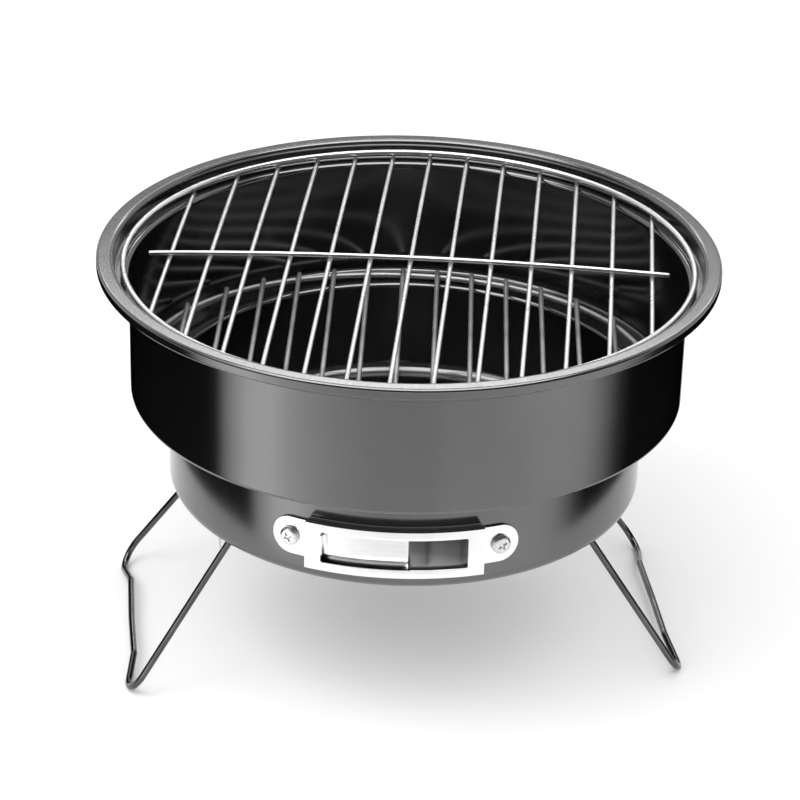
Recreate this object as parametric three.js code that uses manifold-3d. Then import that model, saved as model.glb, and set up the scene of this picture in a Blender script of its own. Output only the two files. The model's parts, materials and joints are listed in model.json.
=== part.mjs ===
// Portable tabletop charcoal grill: a stepped pressed-steel bowl on two folding wire legs,
// with a sliding air vent at the front and two loose wire grates inside.
// Millimetres, +Z up. The origin is on the ground below the middle of the bowl; the vent
// faces -Y. Parts that touch on the real grill are kept `gap` apart here.
import * as THREE from 'three';
import { mergeVertices } from 'three/addons/utils/BufferGeometryUtils.js';
import Module from 'manifold-3d';

const wasm = await Module();
wasm.setup();

// ---------------------------------------------------------------- driving dimensions
const gap = 0.3; // clearance between neighbouring pieces
const sheet = 0.6; // steel thickness of the bowl
const ringSides = 8; // facets round a wire
const crownSteps = 10; // straight lengths in each bowed wire

const rimHeight = 185; // top of the rim above the ground
const rimRadius = 135;
const rimLipDrop = 5; // how far the rim's edge is rolled down
const neckRadius = 127.9; // middle of the sheet, inside the flange
const ledgeDrop = 8.7; // upper ledge below the rim, middle of the sheet
const upperRadius = 120.9; // middle of the sheet of the upper wall
const shoulderDrop = 64; // lower ledge below the rim, middle of the sheet
const lowerRadius = 104.3; // middle of the sheet of the lower wall
const bowlDepth = 108.8; // bottom below the rim, middle of the sheet
const bowlSegments = 64;

const ventDrop = 88.9; // vent centre below the rim
const wallClearance = 0.4; // between the vent's parts and the wall, which has flat facets
const frameThickness = 0.8;
const frameFaceRadius = 110.5; // outside of the frame's face
const frameHalfAngle = 19.8; // degrees
const frameHeight = 21.6;
const windowHalfAngle = 16.1;
const windowHeight = 14.2;
const earRadius = 8.6; // round end of the screw ears
const earRoot = 14; // from a screw back to inside the frame's end wall
const earLimit = 32; // degrees each side of the vent centre, past the ears
const screwAngle = 24.1; // degrees each side of the vent centre
const ventHoleStart = 3.6; // degrees, air hole in the bowl behind the window's right half
const ventHoleEnd = 17.2;
const ventHoleTop = 6.3; // above the vent's centre
const ventHoleBottom = -8.2;
const shutterStart = -16;
const shutterEnd = 3.1;
const shutterHeight = 18;
const shutterRadius = 109.3; // outside of the shutter plate
const tabReach = 2.6; // finger tab past the shutter plate
const tabHeight = 12.6;
const tabAngle = 0.45; // degrees, the tab's thickness
const screwDiameter = 3.9;
const screwHeadDiameter = 8.4;
const screwHeadHeight = 2.4;
const screwLength = 8.5;
const recessLength = 4.4; // cross recess in the screw's head
const recessWidth = 0.9;
const recessDepth = 1.3;
const nutFlats = 7;
const nutHeight = 3.2;

const barCount = 13;
const gridTurn = -2; // degrees, the cooking grid as it lies in the bowl
const gridRadius = 123.6;
const gridRingWire = 2.6;
const gridBarWire = 2;
const gridBarPitch = 17.38;
const gridBarShift = 0.9;
const gridBarShort = 0.3; // bar ends short of the middle of the ring wire
const gridCrown = 3.6; // how far the grid's middle bows up
const gridCrossHalf = 112.5;
const gridCrossOffset = -5.4;
const gridCrossTurn = 1.2; // degrees, the cross wire is welded on slightly askew

const grateTurn = 0.7; // degrees, the charcoal grate as it lies in the bowl
const grateShift = [-4.4, -3]; // it lies forward and to the left
const grateRadius = 113.3;
const grateCurl = 5.2; // how much higher its left and right edges are than its middle
const grateRingWire = 2.6;
const grateBarWire = 2.2;
const grateBarPitch = 16.25;
const grateBarPast = 0.8; // bar ends past the middle of the ring wire
const grateCrossHalf = 106;
const grateCrossOffset = -11;

const legTurn = 8.3; // degrees, the legs stand turned from the vent
const legShift = -2.5; // middle of the legs from the bowl's axis, along X
const legWire = 3;
const pivotReach = 74.7; // hinge line from the bowl's middle
const pivotDrop = 112; // hinge line below the rim
const splay = 34; // degrees from upright, legs open
const legTopHalf = 43; // half the spread of a leg's two uprights at the hinge
const legFootHalf = 63; // and where they would meet the feet
const legReach = 90.3;
const footBend = 9.3;
const crossHalf = 32.5; // raised stretch between the feet
const crossReach = 81.4;
const crossBend = 3;
const crossBow = 0.8; // how far the raised stretch bows outwards
const pinStart = 30.5; // inner end of a leg's turned-in pin
const bracketSheet = 0.8;
const bracketStart = 22;
const bracketEnd = 47;
const bracketBack = 6;
const bracketEar = 33;
const earHalf = 4.5;
const earDrop = 4; // bottom of the ear below the hinge line
const lipReach = 6.9; // inside of the stop lip from the hinge line
const lipDrop = 7; // bottom of the stop lip below the hinge line
const lipStart = 38;
const rivetAt = 26.5;
const rivetShank = 3.2;
const rivetHead = 6.4;
const rivetDome = 1.4; // height of the head above the floor
const rivetTail = 1.2; // height of the closed end under the bracket

// ---------------------------------------------------------------- materials
const steel = (colour, roughness, metalness) =>
  new THREE.MeshStandardMaterial({ color: colour, roughness, metalness });
const enamel = () => steel(0x3a3b3c, 0.3, 0.7);
const chrome = () => steel(0xe6e7e8, 0.18, 1);
const nickel = () => steel(0xdcdcda, 0.25, 1);
const greyWire = () => steel(0xa9aaac, 0.35, 1);
const darkWire = () => steel(0x35363a, 0.35, 0.9);
const zinc = () => steel(0xb9bab8, 0.4, 1);

// ---------------------------------------------------------------- helpers
const rad = THREE.MathUtils.degToRad;

// A three.js geometry as a manifold solid, with shared corners merged.
function toSolid(geometry) {
  const bare = geometry.clone();
  bare.deleteAttribute('normal');
  bare.deleteAttribute('uv');
  const merged = mergeVertices(bare, 1e-4);
  return new wasm.Manifold(new wasm.Mesh({
    numProp: 3,
    vertProperties: new Float32Array(merged.attributes.position.array),
    triVerts: new Uint32Array(merged.index.array),
  }));
}

// A manifold solid back as a three.js geometry.
function toGeometry(solid) {
  const mesh = solid.getMesh();
  const geometry = new THREE.BufferGeometry();
  geometry.setAttribute('position', new THREE.BufferAttribute(mesh.vertProperties, 3));
  geometry.setIndex(new THREE.BufferAttribute(mesh.triVerts, 1));
  geometry.computeVertexNormals();
  return geometry;
}

function named(name, geometry, material) {
  const mesh = new THREE.Mesh(geometry, material);
  mesh.name = name;
  return mesh;
}

// Corners of a polyline rounded to the radius given with each corner: [x, y, radius].
// A corner under the small radius is a single flat.
function rounded(points, steps, small = 0) {
  const out = [];
  points.forEach(([x, y, radius = 0], i) => {
    const here = new THREE.Vector2(x, y);
    if (!radius || i === 0 || i === points.length - 1) {
      out.push(here);
      return;
    }
    const before = new THREE.Vector2(...points[i - 1].slice(0, 2)).sub(here).normalize();
    const after = new THREE.Vector2(...points[i + 1].slice(0, 2)).sub(here).normalize();
    const half = Math.acos(THREE.MathUtils.clamp(before.dot(after), -1, 1)) / 2;
    const centre = before.clone().add(after).normalize()
      .multiplyScalar(radius / Math.sin(half)).add(here);
    const from = before.multiplyScalar(radius / Math.tan(half)).add(here).sub(centre);
    const to = after.multiplyScalar(radius / Math.tan(half)).add(here).sub(centre);
    let turn = to.angle() - from.angle();
    if (turn > Math.PI) turn -= 2 * Math.PI;
    if (turn < -Math.PI) turn += 2 * Math.PI;
    const count = radius < small ? 1 : steps;
    for (let k = 0; k <= count; k += 1) {
      out.push(from.clone().rotateAround(new THREE.Vector2(), turn * k / count).add(centre));
    }
  });
  return out;
}

// A line offset sideways by the same distance all along.
function offsetLine(line, distance) {
  return line.map((point, i) => {
    const before = line[Math.max(i - 1, 0)];
    const after = line[Math.min(i + 1, line.length - 1)];
    const inwards = point.clone().sub(before).normalize();
    const onwards = after.clone().sub(point).normalize();
    const along = inwards.add(onwards).normalize();
    const stretch = 1 / Math.max(0.5, Math.abs(along.dot(
      (i > 0 ? point.clone().sub(before) : after.clone().sub(point)).normalize())));
    return new THREE.Vector2(-along.y, along.x).multiplyScalar(distance * stretch).add(point);
  });
}

// A round ring of wire lying flat, centred on the origin.
function wireRing(radius, diameter) {
  const circle = [];
  for (let i = 0; i <= ringSides; i += 1) {
    const angle = 2 * Math.PI * i / ringSides;
    circle.push(new THREE.Vector2(
      radius + diameter / 2 * Math.cos(angle), diameter / 2 * Math.sin(angle)));
  }
  circle[ringSides].copy(circle[0]);
  return new THREE.LatheGeometry(circle, bowlSegments).rotateX(Math.PI / 2);
}

// A straight wire centred on the origin, along X or Y, with rings of points along it.
function straightWire(length, diameter, alongX, steps = 1) {
  const wire = new THREE.CylinderGeometry(
    diameter / 2, diameter / 2, length, ringSides, steps, false);
  return alongX ? wire.rotateZ(Math.PI / 2) : wire;
}

// A block with the given lowest and highest corners, as a solid.
function block(low, high) {
  const size = high.map((value, i) => value - low[i]);
  const middle = high.map((value, i) => (value + low[i]) / 2);
  return toSolid(new THREE.BoxGeometry(...size).translate(...middle));
}

// A stretch of a round wall about Z: angles in degrees from -Y towards +X, as a solid.
function wallSolid(inner, outer, from, to, bottom, top) {
  const start = rad(from - 90);
  const end = rad(to - 90);
  const outline = new THREE.Shape();
  outline.absarc(0, 0, outer, start, end, false);
  outline.absarc(0, 0, inner, end, start, true);
  const steps = Math.max(2, Math.round((to - from) / 2.5));
  return toSolid(new THREE.ExtrudeGeometry(outline, {
    depth: top - bottom, bevelEnabled: false, curveSegments: steps,
  }).translate(0, 0, bottom));
}

// Turns a geometry made along +Z so that it points out from the bowl at an angle of the
// vent, with its z = 0 on the given radius and at the vent's height.
function facingOut(geometry, angle, radius) {
  return geometry.rotateX(Math.PI / 2).translate(0, -radius, 0)
    .rotateZ(rad(angle)).translate(0, 0, ventZ);
}

const drill = (diameter, length, sides = 16) =>
  new THREE.CylinderGeometry(diameter / 2, diameter / 2, length, sides).rotateX(Math.PI / 2);

// ---------------------------------------------------------------- bowl
const floorUnder = rimHeight - bowlDepth - sheet / 2; // underside of the floor
const floorTop = floorUnder + sheet;
const ventZ = rimHeight - ventDrop;
const bracketSpots = [-1, 1].flatMap((side) => [-1, 1].map((end) => ({ side, end })));

function makeBowl() {
  const z = (drop) => rimHeight - drop;
  const line = rounded([
    [rimRadius - sheet / 2, z(rimLipDrop)],
    [rimRadius - sheet / 2, z(sheet / 2), 1],
    [neckRadius, z(sheet / 2), 1.4],
    [neckRadius, z(ledgeDrop), 1.1],
    [upperRadius, z(ledgeDrop), 2.6],
    [upperRadius, z(shoulderDrop), 2],
    [lowerRadius, z(shoulderDrop), 1.6],
    [lowerRadius, z(bowlDepth), 5.5],
    [0, z(bowlDepth)],
  ], 2, 1.5);
  const inside = offsetLine(line, -sheet / 2);
  const outside = offsetLine(line, sheet / 2);
  const profile = [...inside, ...outside.reverse()];
  profile.push(profile[0].clone());
  // a lathe turns about Y, so the profile's height becomes Z
  let shell = toSolid(new THREE.LatheGeometry(profile, bowlSegments).rotateX(Math.PI / 2));
  shell = shell.subtract(wallSolid(lowerRadius - 6, lowerRadius + 6, ventHoleStart, ventHoleEnd,
    ventZ + ventHoleBottom, ventZ + ventHoleTop));
  for (const angle of [-screwAngle, screwAngle]) {
    shell = shell.subtract(toSolid(facingOut(drill(screwDiameter + 2 * gap, 12), angle,
      lowerRadius)));
  }
  for (const { side, end } of bracketSpots) {
    const hole = drill(rivetShank + 2 * gap, 6)
      .translate(side * pivotReach, end * rivetAt, floorTop).rotateZ(rad(legTurn))
      .translate(legShift, 0, 0);
    shell = shell.subtract(toSolid(hole));
  }
  return toGeometry(shell);
}

// ---------------------------------------------------------------- air vent
const bowlOutside = lowerRadius + sheet / 2;

function makeVentFrame() {
  const plugHalf = 4; // half the length of the ears' cutters, through the sheet
  const back = bowlOutside + wallClearance;
  const end = frameHalfAngle;
  const wallAngle = THREE.MathUtils.radToDeg(frameThickness / frameFaceRadius);
  const half = frameHeight / 2;
  let frame = wallSolid(back, frameFaceRadius, -end, end, ventZ - half, ventZ + half);
  // hollow it from the back, leaving face, top, bottom and end walls
  frame = frame.subtract(wallSolid(back - 2, frameFaceRadius - frameThickness,
    -end + wallAngle, end - wallAngle,
    ventZ - half + frameThickness, ventZ + half - frameThickness));
  for (const side of [-1, 1]) {
    const from = side < 0 ? -earLimit : end - wallAngle / 2;
    const to = side < 0 ? -end + wallAngle / 2 : earLimit;
    const band = wallSolid(back, back + frameThickness, from, to, ventZ - half, ventZ + half);
    const bridge = block([Math.min(0, -side * earRoot), -earRadius, -plugHalf],
      [Math.max(0, -side * earRoot), earRadius, plugHalf]);
    const plug = toSolid(drill(2 * earRadius, 2 * plugHalf, 24)).add(bridge);
    const ear = band.intersect(toSolid(facingOut(toGeometry(plug), side * screwAngle, back)));
    frame = frame.add(ear);
    frame = frame.subtract(toSolid(facingOut(drill(screwDiameter + 2 * gap, 2 * plugHalf),
      side * screwAngle, back)));
  }
  frame = frame.subtract(wallSolid(frameFaceRadius - 2, frameFaceRadius + 2,
    -windowHalfAngle, windowHalfAngle, ventZ - windowHeight / 2, ventZ + windowHeight / 2));
  return toGeometry(frame);
}

function makeVentShutter() {
  const half = shutterHeight / 2;
  const runner = bowlOutside + wallClearance;
  let plate = wallSolid(runner, shutterRadius, shutterStart, shutterEnd,
    ventZ - half, ventZ + half);
  // turned-in long edges run on the bowl; the rest is a thin curved plate
  plate = plate.subtract(wallSolid(runner - 2, shutterRadius - frameThickness,
    shutterStart - 1, shutterEnd + 1,
    ventZ - half + frameThickness, ventZ + half - frameThickness));
  const tab = wallSolid(shutterRadius - frameThickness, shutterRadius + tabReach,
    shutterStart, shutterStart + tabAngle,
    ventZ - tabHeight / 2, ventZ + tabHeight / 2);
  return toGeometry(plate.add(tab));
}

function makeScrew(angle) {
  const under = bowlOutside + wallClearance + frameThickness + gap;
  const r = screwHeadDiameter / 2;
  const profile = rounded([
    [0, -screwLength], [screwDiameter / 2, -screwLength], [screwDiameter / 2, 0], [r, 0],
    [r, screwHeadHeight, 1.5], [0, screwHeadHeight],
  ], 3);
  const body = toSolid(new THREE.LatheGeometry(profile, 16).rotateX(Math.PI / 2));
  const slot = (long, wide) => block([-long / 2, -wide / 2, screwHeadHeight - recessDepth],
    [long / 2, wide / 2, screwHeadHeight + 1]);
  const cross = slot(recessLength, recessWidth).add(slot(recessWidth, recessLength));
  return facingOut(toGeometry(body.subtract(cross)), angle, under);
}

function makeNut(angle) {
  const corner = nutFlats / Math.sqrt(3);
  const hexagon = new THREE.CylinderGeometry(corner, corner, nutHeight, 6)
    .rotateX(Math.PI / 2);
  const nut = toSolid(hexagon).subtract(toSolid(drill(screwDiameter + 2 * gap, 8)));
  const insideWall = lowerRadius - sheet / 2 - wallClearance;
  return facingOut(toGeometry(nut), angle, insideWall - nutHeight / 2);
}

// ---------------------------------------------------------------- grates
// Bars of a round grate: their places across it and their lengths inside the given radius.
function barRow(pitch, shift, endRadius) {
  return Array.from({ length: barCount }, (_, i) => {
    const x = (i - (barCount - 1) / 2) * pitch + shift;
    return { x, length: 2 * Math.sqrt(endRadius ** 2 - x ** 2) };
  });
}

const label = (i) => String(i + 1).padStart(2, '0');

// Bows a wire of the cooking grid upwards: most at the grid's middle, nothing at its ring.
function crowned(wire) {
  const place = wire.attributes.position;
  for (let i = 0; i < place.count; i += 1) {
    const reach = Math.hypot(place.getX(i), place.getY(i)) / gridRadius;
    place.setZ(i, place.getZ(i) + gridCrown * (1 - reach ** 2));
  }
  wire.computeVertexNormals();
  return wire;
}

function makeCookingGrid() {
  const group = new THREE.Group();
  const ledgeTop = rimHeight - ledgeDrop + sheet / 2;
  const barZ = ledgeTop + gap + gridBarWire / 2;
  const ringZ = barZ + gridBarWire / 2 + gap + gridRingWire / 2;
  const crossZ = barZ + gridBarWire + gap;
  const ring = named('cooking_grid_ring', wireRing(gridRadius, gridRingWire), chrome());
  ring.position.z = ringZ;
  group.add(ring);
  barRow(gridBarPitch, gridBarShift, gridRadius - gridBarShort).forEach(({ x, length }, i) => {
    const wire = straightWire(length, gridBarWire, false, crownSteps).translate(x, 0, 0);
    const bar = named(`cooking_grid_bar_${label(i)}`, crowned(wire), chrome());
    bar.position.z = barZ;
    group.add(bar);
  });
  const crossWire = straightWire(2 * gridCrossHalf, gridBarWire, true, crownSteps)
    .rotateZ(rad(gridCrossTurn)).translate(0, gridCrossOffset, 0);
  const cross = named('cooking_grid_cross_wire', crowned(crossWire), chrome());
  cross.position.z = crossZ;
  group.add(cross);
  group.rotation.z = rad(gridTurn);
  return group;
}

// How much the charcoal grate is curled up at a distance to the side of its middle.
const curlAt = (x) => grateCurl * (x / grateRadius) ** 2;

function curled(wire) {
  const place = wire.attributes.position;
  for (let i = 0; i < place.count; i += 1) {
    place.setZ(i, place.getZ(i) + curlAt(place.getX(i)));
  }
  wire.computeVertexNormals();
  return wire;
}

function makeCharcoalGrate() {
  const group = new THREE.Group();
  const ledgeTop = rimHeight - shoulderDrop + sheet / 2;
  const ringZ = ledgeTop + gap + grateRingWire / 2;
  const barZ = ringZ + grateRingWire / 2 + gap + grateBarWire / 2;
  const ring = named('charcoal_grate_ring', curled(wireRing(grateRadius, grateRingWire)),
    greyWire());
  ring.position.z = ringZ;
  group.add(ring);
  barRow(grateBarPitch, 0, grateRadius + grateBarPast).forEach(({ x, length }, i) => {
    const bar = named(`charcoal_grate_bar_${label(i)}`,
      straightWire(length, grateBarWire, false), greyWire());
    bar.position.set(x, 0, barZ + curlAt(x));
    group.add(bar);
  });
  const cross = named('charcoal_grate_cross_wire',
    curled(straightWire(2 * grateCrossHalf, grateBarWire, true, crownSteps)), greyWire());
  cross.position.set(0, grateCrossOffset, barZ - grateBarWire - gap);
  group.add(cross);
  group.position.set(...grateShift, 0);
  group.rotation.z = rad(grateTurn);
  return group;
}

// ---------------------------------------------------------------- legs
// One leg: a wire from a turned-in pin down to a foot, along the raised stretch to the
// other foot and up to the other pin, drawn in the leg's own plane (x across, y down it).
function legPath() {
  const side = [
    [-pinStart, 0], [-legTopHalf, 0, 3], [-legFootHalf, legReach, footBend],
    [-crossHalf, crossReach, crossBend],
  ];
  const otherSide = side.map(([x, ...rest]) => [-x, ...rest]).reverse();
  return rounded([...side, [0, crossReach + crossBow, 120], ...otherSide], 5);
}

// A wire's middle line through hand-set corners, with one extrusion step to each corner.
class BentWire extends THREE.Curve {
  constructor(corners) {
    super();
    this.corners = corners;
  }

  getPoint(t, target = new THREE.Vector3()) {
    const place = t * (this.corners.length - 1);
    const i = Math.min(Math.floor(place + 1e-9), this.corners.length - 2);
    return target.lerpVectors(this.corners[i], this.corners[i + 1], place - i);
  }

  getPointAt(u, target) {
    return this.getPoint(u, target);
  }

  getTangentAt(u, target = new THREE.Vector3()) {
    const i = Math.round(u * (this.corners.length - 1));
    const here = this.corners[i];
    const before = this.corners[Math.max(i - 1, 0)];
    const after = this.corners[Math.min(i + 1, this.corners.length - 1)];
    const inwards = here.clone().sub(before).normalize();
    const onwards = after.clone().sub(here).normalize();
    return target.copy(inwards).add(onwards).normalize();
  }
}

function makeLeg(side) {
  const tilt = rad(splay);
  const corners = legPath().map(({ x: across, y: down }) => new THREE.Vector3(
    side * (pivotReach + down * Math.sin(tilt)), across,
    rimHeight - pivotDrop - down * Math.cos(tilt)));
  const section = new THREE.Shape();
  section.setFromPoints(Array.from({ length: ringSides }, (_, k) => {
    const angle = 2 * Math.PI * (k + 0.5) / ringSides;
    return new THREE.Vector2(Math.cos(angle), Math.sin(angle)).multiplyScalar(legWire / 2);
  }));
  return new THREE.ExtrudeGeometry(section, {
    steps: corners.length - 1, extrudePath: new BentWire(corners), bevelEnabled: false,
  });
}

// A bracket: a plate under the floor, an ear that the pin turns in and a lip that stops the
// leg when it is open. Made for the +X, +Y corner and mirrored for the others.
const bracketTop = floorUnder - gap;
const hingeZ = rimHeight - pivotDrop;

function mirrored(low, high, { side, end }) {
  const xs = [side * low[0], side * high[0]].sort((a, b) => a - b);
  const ys = [end * low[1], end * high[1]].sort((a, b) => a - b);
  return block([xs[0], ys[0], low[2]], [xs[1], ys[1], high[2]]);
}

function makeBracket(corner) {
  const { side, end } = corner;
  const under = bracketTop - bracketSheet;
  const lipOutside = pivotReach + lipReach + bracketSheet;
  const overlap = bracketSheet / 2; // the joined blocks run into each other by this
  const plate = mirrored([pivotReach - bracketBack, bracketStart, under],
    [lipOutside, bracketEnd, bracketTop], corner);
  const ear = mirrored([pivotReach - earHalf, bracketEar, hingeZ - earDrop],
    [pivotReach + earHalf, bracketEar + bracketSheet, under + overlap], corner);
  const lip = mirrored([pivotReach + lipReach, lipStart, hingeZ - lipDrop],
    [lipOutside, bracketEnd, under + overlap], corner);
  const pinHole = new THREE.CylinderGeometry(
    legWire / 2 + gap, legWire / 2 + gap, 8, 16)
    .translate(side * pivotReach, end * bracketEar, hingeZ);
  const rivetHole = drill(rivetShank + 2 * gap, 8)
    .translate(side * pivotReach, end * rivetAt, under);
  return toGeometry(plate.add(ear).add(lip)
    .subtract(toSolid(pinHole)).subtract(toSolid(rivetHole)));
}

function makeRivet({ side, end }) {
  const r = rivetHead / 2;
  const shank = rivetShank / 2;
  const above = floorTop + gap;
  const below = bracketTop - bracketSheet - gap;
  const profile = rounded([
    [0, below - rivetTail], [r, below - rivetTail, 1], [r, below], [shank, below],
    [shank, above], [r, above], [r, above + rivetDome, 1.2], [0, above + rivetDome],
  ], 2);
  return new THREE.LatheGeometry(profile, 12).rotateX(Math.PI / 2)
    .translate(side * pivotReach, end * rivetAt, 0);
}

// ---------------------------------------------------------------- the whole grill
const sideName = (side) => (side < 0 ? 'left' : 'right');
const grill = new THREE.Group();
grill.add(
  named('bowl', makeBowl(), enamel()),
  named('vent_frame', makeVentFrame(), nickel()),
  named('vent_shutter', makeVentShutter(), chrome()),
);
for (const side of [-1, 1]) {
  const at = side * screwAngle;
  grill.add(
    named(`vent_screw_${sideName(side)}`, makeScrew(at), nickel()),
    named(`vent_nut_${sideName(side)}`, makeNut(at), zinc()),
  );
}
grill.add(makeCookingGrid(), makeCharcoalGrate());

const legs = new THREE.Group();
for (const side of [-1, 1]) {
  legs.add(named(`${sideName(side)}_leg`, makeLeg(side), darkWire()));
}
for (const corner of bracketSpots) {
  const place = `${sideName(corner.side)}_${corner.end < 0 ? 'front' : 'rear'}`;
  legs.add(
    named(`leg_bracket_${place}`, makeBracket(corner), zinc()),
    named(`bracket_rivet_${place}`, makeRivet(corner), zinc()),
  );
}
legs.rotation.z = rad(legTurn);
legs.position.x = legShift;
grill.add(legs);

export default grill;
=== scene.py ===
"""The looks of the portable tabletop grill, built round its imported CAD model.

Shapes are worked out in millimetres and turned into metres as each mesh is made.
+Z is up, the ground is z = 0 and the air vent faces -Y. Angles of the vent are measured
from -Y towards +X, as seen from above.
"""
import json
import math

import bmesh
import bpy
import numpy as np
from mathutils import Matrix, Vector, noise


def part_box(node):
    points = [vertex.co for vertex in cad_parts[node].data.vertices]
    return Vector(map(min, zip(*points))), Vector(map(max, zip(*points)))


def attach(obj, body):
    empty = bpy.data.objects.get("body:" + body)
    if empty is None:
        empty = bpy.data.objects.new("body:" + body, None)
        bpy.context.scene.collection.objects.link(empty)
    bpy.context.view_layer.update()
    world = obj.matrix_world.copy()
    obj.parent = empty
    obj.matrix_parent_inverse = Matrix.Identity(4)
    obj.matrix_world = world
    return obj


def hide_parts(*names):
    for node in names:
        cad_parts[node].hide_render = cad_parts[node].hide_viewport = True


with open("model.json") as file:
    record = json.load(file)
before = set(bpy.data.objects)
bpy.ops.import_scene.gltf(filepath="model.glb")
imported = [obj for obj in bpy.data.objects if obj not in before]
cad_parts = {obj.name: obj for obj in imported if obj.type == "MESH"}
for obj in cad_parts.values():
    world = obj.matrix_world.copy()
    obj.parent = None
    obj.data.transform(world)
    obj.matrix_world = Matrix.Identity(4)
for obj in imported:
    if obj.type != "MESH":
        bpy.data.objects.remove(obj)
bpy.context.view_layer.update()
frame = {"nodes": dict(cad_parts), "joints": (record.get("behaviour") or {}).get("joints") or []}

MM = 0.001
SHEET = 0.6  # steel of the bowl
BOWL_SIDES = 256
WIRE_SIDES = 20
ARC_STEP = math.radians(11)
OVERCUT = 8  # how far the vent hole's cutter stands out on each side of the sheet
DRILL_LENGTH = 6  # of the cutters for round holes

# the bowl: the middle of its sheet, as distances from the axis and drops below the rim
NECK_RADIUS = 127.9
UPPER_RADIUS = 120.9
LOWER_RADIUS = 104.3
LEDGE_DROP = 8.7
SHOULDER_DROP = 64
BOWL_DEPTH = 108.8
LIP_DROP = 5
HEM_WIDTH = 2.6  # how far the lip's lower edge is turned in
FLOOR_BEND = 5.5
SHOULDER_BENDS = (1.6, 2)
LEDGE_BENDS = (2.6, 1.1)
RIM_BENDS = (1.4, 1.0)
HEM_BEND = 1.1

# the vent and its fasteners
PLATE = 0.8
FACE_RADIUS = 110.5
FRAME_BACK = 105.0
SHUTTER_RADIUS = 109.3
HOLE_ANGLES = (3.6, 17.2)
HOLE_HEIGHTS = (-8.2, 6.3)  # from the vent's middle
HOLE_CORNER = 1.6
FRAME_ANGLE = 19.8
WINDOW_ANGLE = 16.1
WINDOW_HEIGHT = 14.2
WINDOW_CORNER = 0.9
WINDOW_CUT = (-3, 1)  # reach of the window's cutter from the face
EAR_RADIUS = 8.6
SHUTTER_ANGLES = (-16, 3.1)
TAB_REACH = 2.6
TAB_HEIGHT = 12.6
TAB_BEND = 2.2
TAB_ANGLE = 0.45
SHUTTER_FOLD = -2.6  # height of the bend where its lower part slopes back
SHUTTER_BENDS = (0.9, 5)  # at the top edge and at the fold
SHUTTER_FOOT = 0.6  # how far the sloped part's end stays off the frame's back
SCREW_DIAMETER = 3.9
HEAD_DIAMETER = 8.4
HEAD_HEIGHT = 2.4
SHANK_LENGTH = 8.5
THREAD_PITCH = 0.7
THREAD_DEPTH = 0.4
THREAD_SIDES = 28
ROWS_PER_TURN = 8  # of the thread's mesh
HEAD_CROWN = 0.25
HEAD_BEND = 1.7
HEAD_EDGE = 0.25  # height of the head's lower edge, which is eased in below it
RECESS_DEPTH = 1.35
RECESS_TURN = 0.5  # how far the cross recess is turned, in radians
NUT_HEIGHT = 3.2
NUT_ACROSS = 7.0
NUT_MOUTH = 1.4  # how much wider the bore gets beyond its ends
NUT_FLARE = 0.35  # how far inside the nut it starts to open out
HOLE_CLEARANCE = 0.3

GRID_CROWN = 3.6  # how far the cooking grid's middle bows up
GRATE_CURL = 5.2  # how much higher the charcoal grate's sides are than its middle
WELD_SIZE = 0.36  # of the bar's diameter
BEAD_SHAPE = (1.25, 1.05, 0.8)  # of a weld: along the bar, across it and up
BEAD_LUMPS = 0.16
RING_WELD = 0.10  # how much thinner the ring's wire is at its butt weld
RING_WELD_SPREAD = 0.9  # in degrees round the ring
WIRE_ROWS = 24  # of a straight wire's mesh
WIRE_EASE = 0.35  # of a cut wire's radius

# the legs, as they lie in their own plane: across the leg and down it
LEG_WIRE = 3
LEG_EASE = 0.4  # of the wire's radius, at its cut ends
LEG_SPLAY = 34
PIN_START = 30.5
LEG_TOP_HALF = 43
LEG_FOOT_HALF = 63
LEG_REACH = 90.3
FOOT_BEND = 9.3
CROSS_HALF = 32.5
CROSS_REACH = 81.4
CROSS_BEND = 3
CROSS_BOW = 0.8
BOW_BEND = 120
TOP_BEND = 3

# leg brackets and rivets: along the hinge line, and out from it
BRACKET_SHEET = 0.8
BRACKET_START = 22
BRACKET_END = 47
BRACKET_BACK = 6
BRACKET_EAR = 33
EAR_HALF = 4
LIP_REACH = 6.9
LIP_DROP_BELOW_PIN = 7
LIP_START = 38
RIVET_AT = 26.5
RIVET_SHANK = 3.2
RIVET_HEAD = 6.4
SINK = 0.5  # how far joined solids run into each other
PIECE_GAP = 0.3


# ------------------------------------------------------------------ frame measurements
def centre_mm(node):
    low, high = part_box(node)
    return (low + high) / 2 / MM


def size_mm(node):
    low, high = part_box(node)
    return (high - low) / MM


def wire_axis(node):
    """The middles of a wire's two ends and its diameter, in mm."""
    points = np.array([v.co for v in frame["nodes"][node].data.vertices]) / MM
    axis = np.linalg.svd(points - points.mean(0))[2][0]
    along = points @ axis
    first = points[along < along.min() + 0.2]
    last = points[along > along.max() - 0.2]
    diameter = 2 * np.linalg.norm(first - first.mean(0), axis=1).max()
    return [Vector(first.mean(0)), Vector(last.mean(0))], diameter


RIM_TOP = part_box("bowl")[1].z / MM
RIM_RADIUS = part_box("bowl")[1].x / MM
VENT_Z = centre_mm("vent_frame").z
FRAME_HEIGHT = size_mm("vent_frame").z
SHUTTER_HEIGHT = size_mm("vent_shutter").z
FLOOR_UNDER = RIM_TOP - BOWL_DEPTH - SHEET / 2
FLOOR_TOP = FLOOR_UNDER + SHEET
SIDES = {"left": -1, "right": 1}


# ------------------------------------------------------------------ mesh helpers
def make_object(name, points, faces):
    mesh = bpy.data.meshes.new(name)
    mesh.from_pydata([Vector(p) * MM for p in points], [], faces)
    mesh.validate()
    mesh.update()
    obj = bpy.data.objects.new(name, mesh)
    bpy.context.scene.collection.objects.link(obj)
    return obj


def apply_modifiers(obj):
    graph = bpy.context.evaluated_depsgraph_get()
    mesh = bpy.data.meshes.new_from_object(obj.evaluated_get(graph))
    obj.modifiers.clear()
    old = obj.data
    obj.data = mesh
    bpy.data.meshes.remove(old)


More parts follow.
